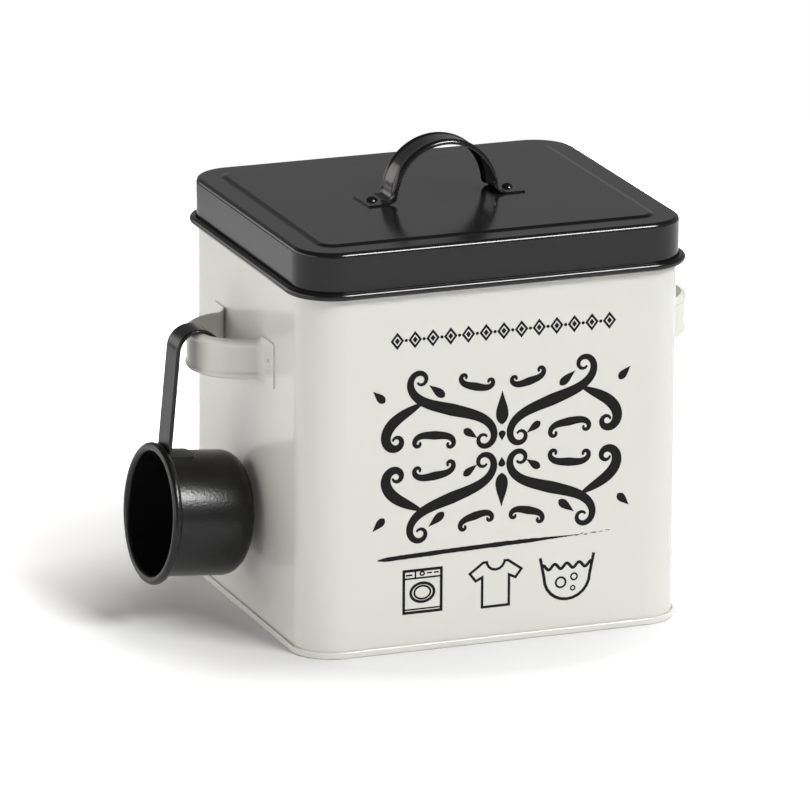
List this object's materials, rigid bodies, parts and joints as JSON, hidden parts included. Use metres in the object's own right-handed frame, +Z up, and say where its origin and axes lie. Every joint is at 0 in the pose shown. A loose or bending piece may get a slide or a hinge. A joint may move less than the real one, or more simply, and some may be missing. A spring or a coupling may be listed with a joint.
{
  "type": "laundry storage box",
  "caption": "Lidded sheet-steel tin with rounded corners, a strap handle on the lid, side loops and a hooked round scoop.",
  "frame": {"origin": "middle of the box's footprint, on the surface that it stands on", "axes": "+X to the right as seen from the printed front, with the scoop hanging on the -X side, +Y to the back, +Z up"},
  "size_m": [0.2832, 0.1812, 0.2352],
  "materials": {
    "body_enamel": "satin",
    "lid_enamel": "satin",
    "scoop_enamel": "satin"
  },
  "bodies": {
    "tin": {"body_shell": "body_enamel", "base_panel": "body_enamel", "left_loop": "body_enamel", "right_loop": "body_enamel", "left_loop_rivets": "body_enamel", "right_loop_rivets": "body_enamel", "scoop_cup": "scoop_enamel", "scoop_handle": "scoop_enamel"},
    "lid": {"lid_shell": "lid_enamel", "lid_handle": "lid_enamel", "lid_handle_rivets": "lid_enamel"}
  },
  "joints": [
    {"name": "lid_lift", "type": "slide", "parent": "tin", "child": "lid", "axis": [0, 0, 1], "range_m": [0, 0.15]}
  ]
}
